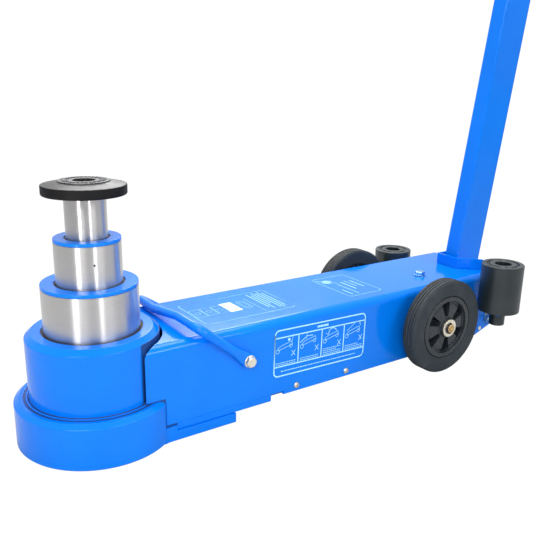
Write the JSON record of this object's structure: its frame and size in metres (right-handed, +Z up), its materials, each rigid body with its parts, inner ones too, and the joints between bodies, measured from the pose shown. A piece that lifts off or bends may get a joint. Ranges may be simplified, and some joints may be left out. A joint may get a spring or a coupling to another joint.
{
  "type": "air-hydraulic car jack",
  "caption": "Wheeled air-hydraulic jack: telescopic rams with a round saddle on a heavy foot, a long low body with pump inside, a tilting tow handle and stowed extension adapters.",
  "frame": {"origin": "on the floor, at the centre of the round foot, on the axis of the lifting rams", "axes": "+X from the rams along the body to the wheels, +Z up; the side with the large label is -Y (left)"},
  "size_m": [1.0426, 0.348, 1.0562],
  "materials": {
    "blue_paint": "gloss",
    "ground_steel": "ground",
    "black_oxide": "satin",
    "tyre_rubber": "matt",
    "seal_rubber": "satin",
    "grip_rubber": "matt",
    "black_plastic": "satin",
    "zinc_plate": "bright",
    "brass": "satin",
    "cast_iron": "machined"
  },
  "bodies": {
    "chassis": {"base_foot": "blue_paint", "cylinder_barrel": "blue_paint", "guide_sleeve": "brass", "wiper_1": "seal_rubber", "body_shell": "blue_paint", "bottom_plate": "blue_paint", "bottom_cover": "blue_paint", "handle_bracket": "blue_paint", "side_screw_front_left": "zinc_plate", "side_screw_front_right": "zinc_plate", "side_screw_rear_left": "zinc_plate", "side_screw_rear_right": "zinc_plate", "carry_bolt_left": "zinc_plate", "carry_bolt_right": "zinc_plate", "axle": "brass", "wheel_washer_left": "zinc_plate", "wheel_washer_right": "zinc_plate", "circlip_left": "black_oxide", "circlip_right": "black_oxide", "pivot_bolt": "zinc_plate", "pivot_nut": "zinc_plate", "pivot_spacer_left": "cast_iron", "pivot_spacer_right": "cast_iron", "adapter_bracket_left": "blue_paint", "adapter_bracket_right": "blue_paint", "pump_block": "cast_iron", "air_motor": "zinc_plate", "pressure_pipe": "ground_steel", "oil_tank": "cast_iron", "return_spring": "zinc_plate"},
    "ram_1": {"ram_1": "ground_steel", "ram_1_gland": "blue_paint", "ram_1_seal": "seal_rubber", "wiper_2": "seal_rubber"},
    "ram_2": {"ram_2": "ground_steel", "ram_2_gland": "blue_paint", "ram_2_seal": "seal_rubber", "wiper_3": "seal_rubber"},
    "ram_3": {"ram_3": "ground_steel", "ram_3_seal": "seal_rubber"},
    "saddle": {"saddle": "black_oxide"},
    "carry_handle": {"carry_handle": "blue_paint"},
    "wheel_left": {"tyre_left": "tyre_rubber", "hub_left": "black_plastic"},
    "wheel_right": {"tyre_right": "tyre_rubber", "hub_right": "black_plastic"},
    "handle": {"handle_tube": "blue_paint", "crossbar": "blue_paint", "grip_left": "grip_rubber", "grip_right": "grip_rubber", "control_valve": "cast_iron", "air_inlet": "brass", "lever_pin": "zinc_plate"},
    "lift_lever": {"lift_lever": "zinc_plate"},
    "release_lever": {"release_lever": "zinc_plate"},
    "release_valve": {"release_valve": "zinc_plate"},
    "air_piston": {"air_piston": "ground_steel"},
    "adapter_tall": {"adapter_tall": "black_oxide"},
    "adapter_short": {"adapter_short": "black_oxide"},
    "filler_plug": {"filler_plug": "zinc_plate"}
  },
  "joints": [
    {"name": "ram_1_slide", "type": "slide", "parent": "chassis", "child": "ram_1", "axis": [0, 0, 1], "range_m": [-0.06, 0], "deforming": ["return_spring"]},
    {"name": "ram_2_slide", "type": "slide", "parent": "ram_1", "child": "ram_2", "axis": [0, 0, 1], "range_m": [-0.056, 0]},
    {"name": "ram_3_slide", "type": "slide", "parent": "ram_2", "child": "ram_3", "axis": [0, 0, 1], "range_m": [-0.051, 0]},
    {"name": "saddle_turn", "type": "hinge", "parent": "ram_3", "child": "saddle", "pos_m": [0, 0, 0.3137], "axis": [0, 0, 1], "continuous": true},
    {"name": "carry_handle_swing", "type": "hinge", "parent": "chassis", "child": "carry_handle", "pos_m": [0.181, 0, 0.087], "axis": [0, 1, 0], "range_deg": [0, 104]},
    {"name": "wheel_left_spin", "type": "hinge", "parent": "chassis", "child": "wheel_left", "pos_m": [0.53, -0.11, 0.0764], "axis": [0, 1, 0], "continuous": true},
    {"name": "wheel_right_spin", "type": "hinge", "parent": "chassis", "child": "wheel_right", "pos_m": [0.53, 0.11, 0.0764], "axis": [0, 1, 0], "continuous": true},
    {"name": "handle_tilt", "type": "hinge", "parent": "chassis", "child": "handle", "pos_m": [0.6855, 0, 0.052], "axis": [0, 1, 0], "range_deg": [0, 68]},
    {"name": "lift_lever_press", "type": "hinge", "parent": "handle", "child": "lift_lever", "pos_m": [0.87378, 0, 0.94629], "axis": [0, 1, 0], "range_deg": [0, 12], "stiffness_Nm_per_rad": 0.6, "springref_deg": -14.32},
    {"name": "release_lever_turn", "type": "hinge", "parent": "handle", "child": "release_lever", "pos_m": [0.86596, 0.02, 0.91307], "axis": [0, 1, 0], "range_deg": [-40, 0], "stiffness_Nm_per_rad": 0.3, "springref_deg": 17.19},
    {"name": "release_valve_turn", "type": "hinge", "parent": "chassis", "child": "release_valve", "pos_m": [0.13, 0.05, 0.0459], "axis": [0, 1, 0], "range_deg": [-40, 0]},
    {"name": "air_piston_stroke", "type": "slide", "parent": "chassis", "child": "air_piston", "axis": [1, 0, 0], "range_m": [-0.028, 0], "stiffness_N_per_m": 300},
    {"name": "adapter_tall_lift", "type": "slide", "parent": "chassis", "child": "adapter_tall", "axis": [0, 0, 1], "range_m": [0, 0.03]},
    {"name": "adapter_short_lift", "type": "slide", "parent": "chassis", "child": "adapter_short", "axis": [0, 0, 1], "range_m": [0, 0.03]},
    {"name": "filler_plug_turn", "type": "hinge", "parent": "chassis", "child": "filler_plug", "pos_m": [0.562, -0.026, 0.133], "axis": [0, 0, 1], "continuous": true}
  ],
  "couplings": [
    {"joint": "release_valve_turn", "follows": "release_lever_turn", "ratio": 1}
  ]
}
